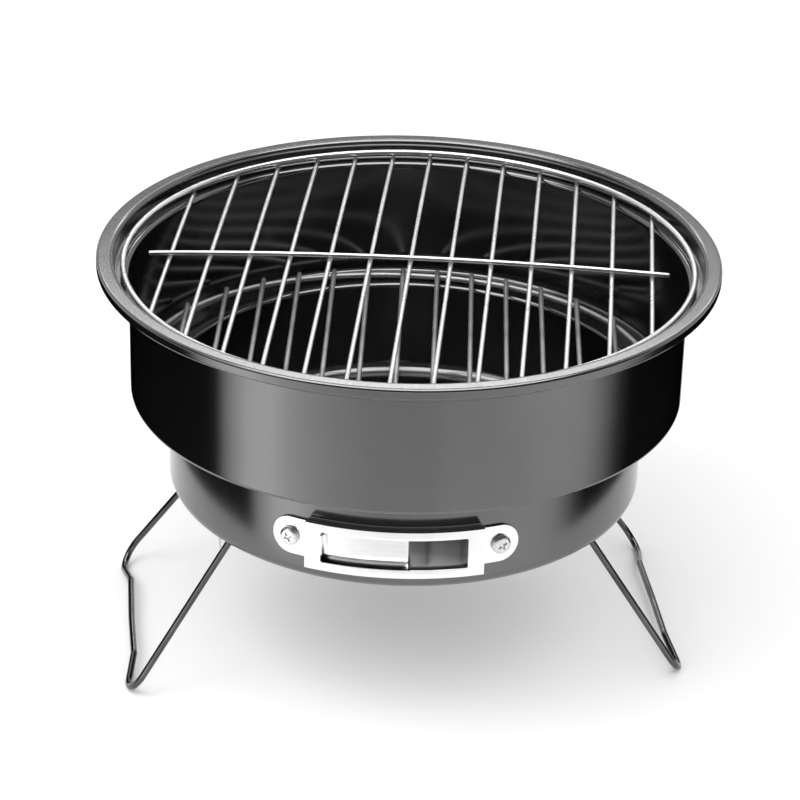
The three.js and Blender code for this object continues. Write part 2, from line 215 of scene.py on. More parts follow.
def combine(obj, other, operation):
    """Joins, cuts or trims this object with another one, and removes the other."""
    modifier = obj.modifiers.new("combine", "BOOLEAN")
    modifier.operation = operation
    modifier.solver = "EXACT"
    modifier.object = other
    apply_modifiers(obj)
    bpy.data.objects.remove(other)
    return obj


def bevel(obj, width, segments=3, sharp=35):
    modifier = obj.modifiers.new("bevel", "BEVEL")
    modifier.width = width * MM
    modifier.segments = segments
    modifier.limit_method = "ANGLE"
    modifier.angle_limit = math.radians(sharp)
    apply_modifiers(obj)
    return obj


def smooth(obj, sharp=38):
    mesh = obj.data
    mesh.shade_smooth()
    mesh.set_sharp_from_angle(angle=math.radians(sharp))
    return obj


def reshape(obj, move):
    """Sends every vertex through a function that works on a point in mm."""
    for vertex in obj.data.vertices:
        vertex.co = Vector(move(vertex.co / MM)) * MM
    obj.data.update()
    return obj


def outward(obj):
    mesh = bmesh.new()
    mesh.from_mesh(obj.data)
    bmesh.ops.recalc_face_normals(mesh, faces=mesh.faces)
    mesh.to_mesh(obj.data)
    mesh.free()
    return obj


def arc_points(centre, radius, start, end):
    steps = max(2, math.ceil(abs(end - start) / ARC_STEP))
    angles = [start + (end - start) * k / steps for k in range(steps + 1)]
    return [(centre[0] + radius * math.cos(a), centre[1] + radius * math.sin(a)) for a in angles]


def rounded(corners, support=0.35):
    """A polyline whose corners (x, y, radius) are arcs, with a point close to each arc's
    ends on the straight stretches so that flat parts shade flat."""
    places = [Vector(corner[:2]) for corner in corners]
    bends = []  # (direction back, direction on, half angle, distance from corner to arc end)
    for i, corner in enumerate(corners):
        if len(corner) < 3 or i in (0, len(corners) - 1):
            bends.append((None, None, 0, 0))
            continue
        back = (places[i - 1] - places[i]).normalized()
        onward = (places[i + 1] - places[i]).normalized()
        half = back.angle(onward) / 2
        bends.append((back, onward, half, corner[2] / math.tan(half)))
    line = []
    for i, (here, (back, onward, half, reach)) in enumerate(zip(places, bends)):
        if back is None:
            line.append(here)
            continue
        radius = corners[i][2]
        centre = here + (back + onward).normalized() * radius / math.sin(half)
        spoke_in = here + back * reach - centre
        spoke_out = here + onward * reach - centre
        start = math.atan2(spoke_in.y, spoke_in.x)
        turn = math.atan2(spoke_out.y, spoke_out.x) - start
        turn = (turn + math.pi) % (2 * math.pi) - math.pi
        arc = [Vector(p) for p in arc_points(centre, radius, start, start + turn)]
        spare_in = (here - places[i - 1]).length - reach - bends[i - 1][3]
        spare_out = (places[i + 1] - here).length - reach - bends[i + 1][3]
        if spare_in > 3 * support:
            line.append(arc[0] + back * support)
        line += arc
        if spare_out > 3 * support:
            line.append(arc[-1] + onward * support)
    kept = [line[0]]
    for point in line[1:]:
        if (point - kept[-1]).length > 0.02:
            kept.append(point)
    return kept


def offset(line, distance):
    """The line moved sideways, to its left for a positive distance."""
    moved = []
    for i, point in enumerate(line):
        before = (point - line[i - 1]).normalized() if i else None
        after = (line[i + 1] - point).normalized() if i < len(line) - 1 else None
        before, after = before or after, after or before
        along = (before + after).normalized()
        stretch = 1 / max(0.5, along.dot(before))
        moved.append(point + Vector((-along.y, along.x)) * distance * stretch)
    return moved


def lathe(name, profile, sides, closed=False):
    """A profile of (distance from the axis, height) turned about Z."""
    points, rings, faces = [], [], []
    for radius, height in profile:
        if radius < 1e-6:
            rings.append([len(points)] * sides)
            points.append((0, 0, height))
            continue
        rings.append(list(range(len(points), len(points) + sides)))
        for k in range(sides):
            angle = 2 * math.pi * k / sides
            points.append((radius * math.cos(angle), radius * math.sin(angle), height))
    pairs = list(zip(rings, rings[1:]))
    if closed:
        pairs.append((rings[-1], rings[0]))
    for lower, upper in pairs:
        for k in range(sides):
            loop = [lower[k], lower[(k + 1) % sides], upper[(k + 1) % sides], upper[k]]
            face = list(dict.fromkeys(loop))
            if len(face) > 2:
                faces.append(face)
    return outward(make_object(name, points, faces))


def prism(name, outline, low, high):
    """An outline in the XY plane, pulled up from one height to another."""
    count = len(outline)
    points = [(x, y, low) for x, y in outline] + [(x, y, high) for x, y in outline]
    faces = [list(range(count)), list(range(count, 2 * count))]
    faces += [[k, (k + 1) % count, count + (k + 1) % count, count + k] for k in range(count)]
    return outward(make_object(name, points, faces))


def block(name, low, high):
    x0, y0, z0 = low
    x1, y1, z1 = high
    return prism(name, [(x0, y0), (x1, y0), (x1, y1), (x0, y1)], z0, z1)


def drill(diameter, sides=48):
    """A round cutter along Z, centred on the origin."""
    turns = [2 * math.pi * k / sides for k in range(sides)]
    circle = [(diameter / 2 * math.cos(a), diameter / 2 * math.sin(a)) for a in turns]
    return prism("drill", circle, -DRILL_LENGTH / 2, DRILL_LENGTH / 2)


def face_out(obj, angle, radius, height):
    """Turns a piece made along +Z so that it points out from the bowl at a vent angle."""
    turn = Matrix.Rotation(angle, 4, "Z") @ Matrix.Rotation(math.pi / 2, 4, "X")
    base = Vector((math.sin(angle) * radius, -math.cos(angle) * radius, height))
    return reshape(obj, lambda p: turn @ p + base)


# ------------------------------------------------------------------ materials
def new_material(name):
    material = bpy.data.materials.new(name)
    material.use_nodes = True
    tree = material.node_tree
    return material, tree, tree.nodes["Principled BSDF"]


def coordinates(tree, scale, source="Object"):
    """Texture coordinates stretched by a scale for each axis."""
    where = tree.nodes.new("ShaderNodeTexCoord")
    stretch = tree.nodes.new("ShaderNodeMapping")
    stretch.inputs["Scale"].default_value = scale
    tree.links.new(where.outputs[source], stretch.inputs["Vector"])
    return stretch.outputs["Vector"]


def noise_at(tree, vector, scale, detail=3.0, roughness=0.5):
    node = tree.nodes.new("ShaderNodeTexNoise")
    node.inputs["Scale"].default_value = scale
    node.inputs["Detail"].default_value = detail
    node.inputs["Roughness"].default_value = roughness
    tree.links.new(vector, node.inputs["Vector"])
    return node.outputs["Fac"]


def ranged(tree, value, low, high, start=0.3, end=0.7):
    node = tree.nodes.new("ShaderNodeMapRange")
    for key, number in (("From Min", start), ("From Max", end), ("To Min", low), ("To Max", high)):
        node.inputs[key].default_value = number
    tree.links.new(value, node.inputs["Value"])
    return node.outputs["Result"]


def blended(tree, value, dark, light):
    """A colour between two, by a value from 0 to 1."""
    node = tree.nodes.new("ShaderNodeMix")
    node.data_type = "RGBA"
    node.inputs["A"].default_value = (*dark, 1)
    node.inputs["B"].default_value = (*light, 1)
    tree.links.new(value, node.inputs["Factor"])
    return node.outputs["Result"]


def bumped(tree, bsdf, height, strength, distance):
    node = tree.nodes.new("ShaderNodeBump")
    node.inputs["Strength"].default_value = strength
    node.inputs["Distance"].default_value = distance
    tree.links.new(height, node.inputs["Height"])
    tree.links.new(node.outputs["Normal"], bsdf.inputs["Normal"])


def math_node(tree, operation, first, second=None):
    node = tree.nodes.new("ShaderNodeMath")
    node.operation = operation
    for socket, value in zip(node.inputs, (first, second)):
        if isinstance(value, (int, float)):
            socket.default_value = value
        elif value is not None:
            tree.links.new(value, socket)
    return node.outputs["Value"]


def around_axis(tree, angle_scale, height_scale):
    """Coordinates that run round the bowl and up it, for marks left by drawing the steel."""
    where = tree.nodes.new("ShaderNodeTexCoord")
    split = tree.nodes.new("ShaderNodeSeparateXYZ")
    tree.links.new(where.outputs["Object"], split.inputs["Vector"])
    x, y, z = split.outputs
    reach = math_node(tree, "SQRT", math_node(
        tree, "ADD", math_node(tree, "MULTIPLY", x, x), math_node(tree, "MULTIPLY", y, y)))
    join = tree.nodes.new("ShaderNodeCombineXYZ")
    for socket, value in zip(join.inputs, (
            math_node(tree, "MULTIPLY", math_node(tree, "DIVIDE", x, reach), angle_scale),
            math_node(tree, "MULTIPLY", math_node(tree, "DIVIDE", y, reach), angle_scale),
            math_node(tree, "MULTIPLY", z, height_scale))):
        tree.links.new(value, socket)
    return join.outputs["Vector"]


def enamel_material():
    """Dark grey gloss enamel: a metallic paint with orange peel and faint drawing marks."""
    material, tree, bsdf = new_material("bowl_enamel")
    bsdf.inputs["Metallic"].default_value = 0.98
    place = coordinates(tree, (1, 1, 1))
    patches = noise_at(tree, place, 14, 4)
    flakes = noise_at(tree, place, 2600, 1)
    tint = math_node(tree, "ADD", math_node(tree, "MULTIPLY", patches, 0.75),
                     math_node(tree, "MULTIPLY", flakes, 0.25))
    colour = blended(tree, ranged(tree, tint, 0, 1, 0.35, 0.65),
                     (0.128, 0.129, 0.131), (0.150, 0.150, 0.151))
    tree.links.new(colour, bsdf.inputs["Base Color"])
    marks = noise_at(tree, around_axis(tree, 90, 6), 1.0, 2)
    gloss = math_node(tree, "ADD", ranged(tree, patches, 0.12, 0.155),
                      ranged(tree, marks, -0.01, 0.012))
    tree.links.new(gloss, bsdf.inputs["Roughness"])
    peel = noise_at(tree, place, 420, 2)
    height = math_node(tree, "ADD", peel, math_node(tree, "MULTIPLY", marks, 0.6))
    bumped(tree, bsdf, height, 0.01, 0.0004)
    return material


def plated_material(name, dark, light, rough, streak_scale, peel_scale=900, relief=0.05):
    """Plating over drawn or rolled steel, with streaks, cloudy patches and a fine peel."""
    material, tree, bsdf = new_material(name)
    bsdf.inputs["Metallic"].default_value = 1.0
    streaks = noise_at(tree, coordinates(tree, streak_scale), 1.0, 4, 0.6)
    clouds = noise_at(tree, coordinates(tree, (1, 1, 1)), 55, 3)
    mixed = math_node(tree, "ADD", math_node(tree, "MULTIPLY", streaks, 0.5),
                      math_node(tree, "MULTIPLY", clouds, 0.5))
    tree.links.new(blended(tree, ranged(tree, mixed, 0, 1, 0.35, 0.65), dark, light),
                   bsdf.inputs["Base Color"])
    tree.links.new(ranged(tree, mixed, *rough), bsdf.inputs["Roughness"])
    fine = noise_at(tree, coordinates(tree, (1, 1, 1)), peel_scale, 2)
    height = math_node(tree, "ADD", streaks, math_node(tree, "MULTIPLY", fine, 0.4))
    bumped(tree, bsdf, height, relief, 0.0003)
    return material


def make_materials():
    wire = (60, 60, 60)
    platings = {
        "vent_nickel": dict(dark=(0.80, 0.80, 0.785), light=(0.90, 0.90, 0.885),
                            rough=(0.16, 0.26), streak_scale=(160, 160, 2600)),
        "vent_shutter_chrome": dict(dark=(0.78, 0.78, 0.78), light=(0.88, 0.88, 0.88),
                                    rough=(0.10, 0.2), streak_scale=(120, 120, 1800)),
        "screw_steel": dict(dark=(0.56, 0.56, 0.55), light=(0.84, 0.84, 0.83), rough=(0.2, 0.38),
                            streak_scale=(900, 900, 900), peel_scale=2600, relief=0.1),
        "zinc_plate": dict(dark=(0.44, 0.44, 0.43), light=(0.62, 0.62, 0.6), rough=(0.3, 0.46),
                           streak_scale=(400, 400, 400), peel_scale=2200, relief=0.1),
        "grid_chrome": dict(dark=(0.60, 0.60, 0.595), light=(0.72, 0.72, 0.715),
                            rough=(0.24, 0.36), streak_scale=wire, peel_scale=3500, relief=0.01),
        "grate_wire": dict(dark=(0.36, 0.36, 0.36), light=(0.48, 0.48, 0.48),
                           rough=(0.46, 0.58), streak_scale=wire, peel_scale=3500, relief=0.01),
        "leg_wire": dict(dark=(0.078, 0.077, 0.075), light=(0.125, 0.123, 0.120),
                         rough=(0.14, 0.24), streak_scale=wire, peel_scale=3500, relief=0.02),
    }
    made = {name: plated_material(name, **look) for name, look in platings.items()}
    return {"bowl_enamel": enamel_material(), **made}


def finish_piece(obj, slot, body, *nodes):
    """Gives a piece its material and body, and hides the CAD nodes it stands for."""
    obj.data.materials.clear()
    obj.data.materials.append(materials[slot])
    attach(obj, body)
    if nodes:
        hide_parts(*nodes)
    return obj


# ------------------------------------------------------------------ bowl
def bowl_profile():
    """The inside and the outside of the bowl's section, each from the axis up to the hem."""
    edge = RIM_RADIUS - SHEET / 2
    top = RIM_TOP - SHEET / 2
    hem = RIM_TOP - LIP_DROP + SHEET / 2
    middle = rounded([
        (0, RIM_TOP - BOWL_DEPTH),
        (LOWER_RADIUS, RIM_TOP - BOWL_DEPTH, FLOOR_BEND),
        (LOWER_RADIUS, RIM_TOP - SHOULDER_DROP, SHOULDER_BENDS[0]),
        (UPPER_RADIUS, RIM_TOP - SHOULDER_DROP, SHOULDER_BENDS[1]),
        (UPPER_RADIUS, RIM_TOP - LEDGE_DROP, LEDGE_BENDS[0]),
        (NECK_RADIUS, RIM_TOP - LEDGE_DROP, LEDGE_BENDS[1]),
        (NECK_RADIUS, top, RIM_BENDS[0]),
        (edge, top, RIM_BENDS[1]),
        (edge, hem, HEM_BEND),
        (edge - HEM_WIDTH, hem),
    ])
    return offset(middle, SHEET / 2), offset(middle, -SHEET / 2)


def make_bowl():
    inside, outside = bowl_profile()
    inside[0].x = outside[0].x = 0
    bowl = lathe("bowl_shell", [*inside, *reversed(outside)], BOWL_SIDES)
    start, end = (math.radians(a) for a in HOLE_ANGLES)
    bottom, top = HOLE_HEIGHTS
    half_width = (end - start) / 2 * LOWER_RADIUS
    outline = rounded_rectangle(half_width, (top - bottom) / 2, HOLE_CORNER)
    hole = face_out(prism("hole", outline, -OVERCUT, OVERCUT), (start + end) / 2, LOWER_RADIUS,
                    VENT_Z + (top + bottom) / 2)
    combine(bowl, hole, "DIFFERENCE")
    for name in SIDES:
        hole = drill(SCREW_DIAMETER + 2 * HOLE_CLEARANCE)
        combine(bowl, face_out(hole, screw_angle(name), LOWER_RADIUS, VENT_Z), "DIFFERENCE")
    for side, end_sign in corners():
        hole = drill(RIVET_SHANK + 2 * HOLE_CLEARANCE)
        spot = along_hinge(side, end_sign * RIVET_AT, 0, FLOOR_UNDER)
        combine(bowl, reshape(hole, lambda p, s=spot: p + s), "DIFFERENCE")
    return finish_piece(smooth(bowl, 42), "bowl_enamel", "bowl_body", "bowl")


def rounded_rectangle(half_x, half_y, radius):
    """The outline of a rectangle with round corners, centred on the origin."""
    outline = []
    for quarter, (sx, sy) in enumerate(((1, 1), (-1, 1), (-1, -1), (1, -1))):
        centre = (sx * (half_x - radius), sy * (half_y - radius))
        start = quarter * math.pi / 2
        outline += arc_points(centre, radius, start, start + math.pi / 2)
    return outline


# ------------------------------------------------------------------ air vent
# The vent's sheet parts are made flat, with X along the wall, Y up and Z outwards from the
# bowl's axis, and then bent round the wall.
BEND_RADIUS = 108.0


def flat(degrees):
    return math.radians(degrees) * BEND_RADIUS


def bend_round(obj, step=3.0):
    """Cuts a flat part into strips and bends it round the bowl's wall."""
    mesh = bmesh.new()
    mesh.from_mesh(obj.data)
    xs = [v.co.x / MM for v in mesh.verts]
    place = math.ceil(min(xs) / step) * step
    while place < max(xs):
        bmesh.ops.bisect_plane(
            mesh, geom=[*mesh.verts, *mesh.edges, *mesh.faces],
            plane_co=(place * MM, 0, 0), plane_no=(1, 0, 0), dist=1e-7)
        place += step
    mesh.to_mesh(obj.data)
    mesh.free()

    def bent(point):
        angle = point.x / BEND_RADIUS
        return (point.z * math.sin(angle), -point.z * math.cos(angle), VENT_Z + point.y)

    return outward(reshape(obj, bent))


def screw_angle(side):
    centre = centre_mm(f"vent_screw_{side}")
    return math.atan2(centre.x, -centre.y)


def make_vent_frame():
    half_x, half_y = flat(FRAME_ANGLE), FRAME_HEIGHT / 2
    part = block("vent_frame_plate", (-half_x, -half_y, FRAME_BACK), (half_x, half_y, FACE_RADIUS))
    combine(part, block("hollow", (PLATE - half_x, PLATE - half_y, FRAME_BACK - 1),
                        (half_x - PLATE, half_y - PLATE, FACE_RADIUS - PLATE)), "DIFFERENCE")
    outline = rounded_rectangle(flat(WINDOW_ANGLE), WINDOW_HEIGHT / 2, WINDOW_CORNER)
    window = prism("window", outline, *(FACE_RADIUS + reach for reach in WINDOW_CUT))
    combine(part, window, "DIFFERENCE")
    for name, side in SIDES.items():
        centre = screw_angle(name) * BEND_RADIUS
        root = side * (half_x - PLATE / 2)
        start = -side * math.pi / 2
        outline = [(root, -side * EAR_RADIUS)]
        outline += arc_points((centre, 0), EAR_RADIUS, start, start + math.pi)
        outline += [(root, side * EAR_RADIUS)]
        ear = prism("ear", outline, FRAME_BACK, FRAME_BACK + PLATE)
        hole = drill(SCREW_DIAMETER + 2 * HOLE_CLEARANCE)
        combine(ear, reshape(hole, lambda p, c=centre: p + Vector((c, 0, FRAME_BACK))),
                "DIFFERENCE")
        combine(part, ear, "UNION")
    bevel(part, 0.26)
    bend_round(part)
    return finish_piece(smooth(part), "vent_nickel", "bowl_body", "vent_frame")


def make_vent_shutter():
    """A stamped plate: its top edge is turned in, its lower part slopes back to the bowl, and
    its left end is turned out as a finger tab."""
    start, end = (flat(a) for a in SHUTTER_ANGLES)
    half_y = SHUTTER_HEIGHT / 2 - PLATE / 2
    face = SHUTTER_RADIUS - PLATE / 2
    back = FRAME_BACK + PLATE / 2
    top_bend, fold_bend = SHUTTER_BENDS
    middle = rounded([(half_y, back), (half_y, face, top_bend), (SHUTTER_FOLD, face, fold_bend),
                      (-half_y, back + SHUTTER_FOOT)])
    section = [*offset(middle, PLATE / 2), *reversed(offset(middle, -PLATE / 2))]
    part = prism("vent_shutter_plate", section, start, end)
    outward(reshape(part, lambda p: (p.z, p.x, p.y)))
    top = SHUTTER_RADIUS + TAB_REACH
    thick = flat(TAB_ANGLE)
    root = start + thick + TAB_BEND
    outline = [(start, SHUTTER_RADIUS - PLATE / 2), (root, SHUTTER_RADIUS - PLATE / 2),
               (root, SHUTTER_RADIUS)]
    outline += arc_points((root, SHUTTER_RADIUS + TAB_BEND), TAB_BEND, -math.pi / 2, -math.pi)
    outline += [(start + thick, top), (start, top)]
    tab = prism("tab", outline, SHUTTER_FOLD, TAB_HEIGHT / 2)
    reshape(tab, lambda p: (p.x, p.z, p.y))
    combine(part, outward(tab), "UNION")
    bevel(part, 0.18, 2)
    bend_round(part)
    return finish_piece(smooth(part), "vent_shutter_chrome", "shutter", "vent_shutter")


def threaded_shank(start, end):
    """A threaded shank along Z as a mesh whose surface follows the thread's helix."""
    sides = THREAD_SIDES
    rows = math.ceil((end - start) / THREAD_PITCH * ROWS_PER_TURN)
    points, faces = [], []
    for row in range(rows + 1):
        height = start + (end - start) * row / rows
        fade = min(1, (height - start) / THREAD_PITCH, (end - height) / THREAD_PITCH)
        for k in range(sides):
            phase = (height / THREAD_PITCH - k / sides) % 1
            ridge = abs(2 * phase - 1)
            radius = SCREW_DIAMETER / 2 - THREAD_DEPTH * (1 - ridge * fade)
            angle = 2 * math.pi * k / sides
            points.append((radius * math.cos(angle), radius * math.sin(angle), height))
    for row in range(rows):
        for k in range(sides):
            a, b = row * sides + k, row * sides + (k + 1) % sides
            faces.append([a, b, b + sides, a + sides])
    faces += [list(range(sides)), list(range(rows * sides, (rows + 1) * sides))]
    return outward(make_object("shank", points, faces))


def recess_cutter(turn):
    """One arm of a screw's cross recess: a bar that gets longer and wider towards its mouth."""
    height, tip_length, mouth_length = 3, 1.9, 2.35
    tip_width, mouth_width = 0.45, 0.62
    arm = prism("recess", [(-tip_length, 0), (tip_length, 0), (mouth_length, height),
                           (-mouth_length, height)], -1, 1)
    spin = Matrix.Rotation(turn, 4, "Z") @ Matrix.Rotation(math.pi / 2, 4, "X")
    base = Vector((0, 0, HEAD_HEIGHT - RECESS_DEPTH))

    def widened(point):
        width = tip_width + (mouth_width - tip_width) * point.y / height
        return spin @ Vector((point.x, point.y, point.z * width)) + base

    return outward(reshape(arm, widened))


def make_screw(name):
    """A pan-head screw with a cross recess."""
    radius = HEAD_DIAMETER / 2
    dome = rounded([(0, HEAD_HEIGHT), (radius, HEAD_HEIGHT, HEAD_BEND), (radius, HEAD_EDGE, 0.2),
                    (radius - 0.3, 0, 0.1), (SCREW_DIAMETER / 2 - 0.2, 0)], 0.1)
    crowned = []
    for point in dome:
        share = max(0, point.y - HEAD_EDGE) / (HEAD_HEIGHT - HEAD_EDGE)
        crowned.append((point.x, point.y - HEAD_CROWN * (point.x / radius) ** 2 * share))
    head = lathe(f"screw_{name}", [*crowned, (0, 0)], 64)
    for turn in (RECESS_TURN, RECESS_TURN + math.pi / 2):
        combine(head, recess_cutter(turn), "DIFFERENCE")
    bevel(head, 0.12, 2, 40)
    combine(head, threaded_shank(-SHANK_LENGTH, 0.3), "UNION")
    face_out(head, screw_angle(name), FRAME_BACK + PLATE + PIECE_GAP, VENT_Z)
    return finish_piece(smooth(head), "screw_steel", "bowl_body", f"vent_screw_{name}")


def make_nut(name):
    """A hexagon nut with chamfered corners and a bore that opens out at both ends."""
    height = NUT_HEIGHT
    corner = NUT_ACROSS / math.sqrt(3)
    hexagon = [(corner * math.cos(math.pi * k / 3), corner * math.sin(math.pi * k / 3))
               for k in range(6)]
    nut = prism(f"nut_{name}", hexagon, -height / 2, height / 2)
    ease = NUT_ACROSS / 2 - 0.05
    slope = (corner - ease) / 2
    cone = lathe("cone", [(0, -height / 2), (ease, -height / 2), (corner, slope - height / 2),
                          (corner, height / 2 - slope), (ease, height / 2), (0, height / 2)], 72)
    combine(nut, cone, "INTERSECT")
    bore = SCREW_DIAMETER / 2 + HOLE_CLEARANCE
    mouth, straight = bore + NUT_MOUTH, height / 2 - NUT_FLARE
    cutter = lathe("bore", [(0, -height), (mouth, -height), (bore, -straight), (bore, straight),
                            (mouth, height), (0, height)], 48)
    combine(nut, cutter, "DIFFERENCE")
    bevel(nut, 0.1, 2)
    centre = centre_mm(f"vent_nut_{name}")
    face_out(nut, screw_angle(name), math.hypot(centre.x, centre.y), VENT_Z)
    return finish_piece(smooth(nut), "zinc_plate", "bowl_body", f"vent_nut_{name}")


# ------------------------------------------------------------------ grates
def make_wire(name, node, slot, body, lift):
    """A cut length of round wire, with its ends eased, along the CAD wire's axis. The lift
    says how far the wire is bowed up at each place."""
    ends, diameter = wire_axis(node)
    ends = [end - Vector((0, 0, lift(end))) for end in ends]
    length = (ends[1] - ends[0]).length
    radius, half = diameter / 2, length / 2
    ease = radius * WIRE_EASE
    start = [(0, -half), (radius - ease, -half),
             (radius - ease * WIRE_EASE, ease * WIRE_EASE - half), (radius, ease - half)]
    middle = [(radius, length * k / WIRE_ROWS - half) for k in range(1, WIRE_ROWS)]
    wire = lathe(name, [*start, *middle, *((r, -z) for r, z in reversed(start))], WIRE_SIDES)
    # each wire keeps its own axes, so that its drawing marks run along it
    turn = (ends[1] - ends[0]).to_track_quat("Z", "Y").to_matrix().to_4x4()
    place = Matrix.Translation((ends[0] + ends[1]) / 2) @ turn
    up = turn.inverted() @ Vector((0, 0, 1))
    reshape(wire, lambda p: p + up * lift(place @ p))
    wire.matrix_world = Matrix.Translation((ends[0] + ends[1]) / 2 * MM) @ turn
    smooth(wire, 50)
    return finish_piece(wire, slot, body, node)


def make_ring(name, node, slot, body, centre, wire, radius, lift):
    """A ring of round wire, butt welded at the back, where the wire is a little thinner."""
    section = [(radius + wire * math.cos(2 * math.pi * k / WIRE_SIDES),
                wire * math.sin(2 * math.pi * k / WIRE_SIDES)) for k in range(WIRE_SIDES)]
    ring = lathe(name, section, BOWL_SIDES, closed=True)

    def weld(point):
        flat_point = Vector((point.x, point.y, 0))
        line = flat_point.normalized() * radius
        away = math.degrees(math.atan2(point.x, point.y))
        pull = RING_WELD * math.exp(-(away / RING_WELD_SPREAD) ** 2)
        place = line + centre
        return place + (point - line) * (1 - pull) + Vector((0, 0, lift(place)))

    reshape(ring, weld)
    return finish_piece(smooth(ring, 60), slot, body, node)


def make_welds(name, spots, slot, body):
    """Resistance welds: small squeezed-out beads where wires cross."""
    ball = bmesh.new()
    bmesh.ops.create_icosphere(ball, subdivisions=3, radius=1)
    ball.verts.ensure_lookup_table()
    shape = [v.co.copy() for v in ball.verts]
    skin = [[v.index for v in f.verts] for f in ball.faces]
    ball.free()
    points, faces = [], []
    for index, (place, along, size) in enumerate(spots):
        turn = along.to_track_quat("X", "Z").to_matrix()
        start = len(points)
        for unit in shape:
            lump = 1 + BEAD_LUMPS * noise.noise(unit * 1.7 + Vector((index * 3.1, 0, 0)))
            stretched = unit * Vector(BEAD_SHAPE) * lump * size
            points.append(place + turn @ stretched)
        faces += [[start + k for k in face] for face in skin]
    welds = make_object(name, points, faces)
    return finish_piece(smooth(welds, 80), slot, body)


def crossing(first, second):
    """Where two wires, given by their ends, cross as seen from above."""
    a, b = first
    c, d = second
    along, other = b - a, d - c
    share = (c - a).xy.cross(other.xy) / along.xy.cross(other.xy)
    return a + along * share


def between(height, radius, other_height, other_radius):
    """The height halfway between the facing sides of two wires, one above the other."""
    toward = math.copysign(1, other_height - height)
    return (height + toward * radius + other_height - toward * other_radius) / 2


def make_grate(kind, short, slot, body, crown, curl):
    """The ring, bars, cross wire and welds of one grate. Its middle is bowed up by the crown
    inside the ring, and its left and right edges stand higher by the curl."""
    ring = f"{kind}_ring"
    low, high = (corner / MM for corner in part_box(ring))
    ring_wire = high.z - low.z - curl
    radius = (high.x - low.x - ring_wire) / 2
    centre = Vector(((low.x + high.x) / 2, (low.y + high.y) / 2, low.z + ring_wire / 2))

    def lift(point):
        away = (point - centre) / radius
        return crown * (1 - away.x ** 2 - away.y ** 2) + curl * away.x ** 2

    make_ring(f"{short}_ring", ring, slot, body, centre, ring_wire / 2, radius, lift)
    cross_node = f"{kind}_cross_wire"
    make_wire(f"{short}_cross", cross_node, slot, body, lift)
    cross_ends, cross_wire = wire_axis(cross_node)
    cross_base = cross_ends[0].z - lift(cross_ends[0])
    spots = []
    for node in sorted(n for n in frame["nodes"] if n.startswith(f"{kind}_bar_")):
        make_wire(f"{short}_{node[-6:]}", node, slot, body, lift)
        ends, wire = wire_axis(node)
        base = ends[0].z - lift(ends[0])
        along = (ends[1] - ends[0]).normalized()
        off = (ends[0] + ends[1]) / 2 - centre
        off.z = 0
        side = off - along * off.dot(along)
        reach = math.sqrt(radius ** 2 - side.length_squared)
        for sign in (-1, 1):
            spot = centre + side + along * sign * reach
            rise = lift(spot)
            spot.z = rise + between(base, wire / 2, centre.z, ring_wire / 2)
            spots.append((spot, along, wire * WELD_SIZE))
        spot = crossing(ends, cross_ends)
        spot.z = lift(spot) + between(base, wire / 2, cross_base, cross_wire / 2)
        spots.append((spot, along, wire * WELD_SIZE))
    make_welds(f"{short}_welds", spots, slot, body)


# ------------------------------------------------------------------ legs
def hinge(side):
    """A leg's hinge point in mm, its axis from front to rear and the way out from it."""
    name = "left_leg_fold" if side < 0 else "right_leg_fold"
    joint = next(j for j in frame["joints"] if j["name"] == name)
    axis = Vector(joint["axis"])
    axis *= math.copysign(1, axis.y)
    return Vector(joint["pos_m"]) / MM, axis, Vector((axis.y, -axis.x, 0)) * side


def corners():
    return [(side, end) for side in (-1, 1) for end in (-1, 1)]


def along_hinge(side, along, out, height):
    """A point by a leg's hinge: along its axis, out from the bowl, and at a height."""
    pivot, axis, away = hinge(side)
    return Vector((pivot.x, pivot.y, height)) + axis * along + away * out


def leg_path():
    half = [(-PIN_START, 0), (-LEG_TOP_HALF, 0, TOP_BEND),
            (-LEG_FOOT_HALF, LEG_REACH, FOOT_BEND), (-CROSS_HALF, CROSS_REACH, CROSS_BEND)]
    other = [(-x, *rest) for x, *rest in reversed(half)]
    return rounded([*half, (0, CROSS_REACH + CROSS_BOW, BOW_BEND), *other], 0.5)


def make_leg(name, side):
    """One wire, bent to shape, with its cut ends eased."""
    pivot, axis, away = hinge(side)
    tilt = math.radians(LEG_SPLAY)
    down = away * math.sin(tilt) - Vector((0, 0, math.cos(tilt)))
    normal = axis.cross(down)
    line = [pivot + axis * p.x + down * p.y for p in leg_path()]
    radius = LEG_WIRE / 2
    rings = []
    for i, point in enumerate(line):
        tangent = (line[min(i + 1, len(line) - 1)] - line[max(i - 1, 0)]).normalized()
        rings.append((point, tangent, radius))
    ease = radius * LEG_EASE
    first, last = rings[0], rings[-1]
    rings[0] = (first[0] + first[1] * ease, first[1], radius)
    rings[-1] = (last[0] - last[1] * ease, last[1], radius)
    rings.insert(0, (first[0], first[1], radius - ease))
    rings.append((last[0], last[1], radius - ease))
    points, faces = [], []
    for point, tangent, reach in rings:
        across = normal.cross(tangent).normalized()
        for k in range(WIRE_SIDES):
            angle = 2 * math.pi * k / WIRE_SIDES
            points.append(point + (across * math.cos(angle) + normal * math.sin(angle)) * reach)
    for row in range(len(rings) - 1):
        for k in range(WIRE_SIDES):
            a, b = row * WIRE_SIDES + k, row * WIRE_SIDES + (k + 1) % WIRE_SIDES
            faces.append([a, b, b + WIRE_SIDES, a + WIRE_SIDES])
    last_ring = (len(rings) - 1) * WIRE_SIDES
    faces += [list(range(WIRE_SIDES)), list(range(last_ring, last_ring + WIRE_SIDES))]
    leg = outward(make_object(f"{name}_leg_wire", points, faces))
    return finish_piece(smooth(leg, 50), "leg_wire", f"{name}_leg_body", f"{name}_leg")


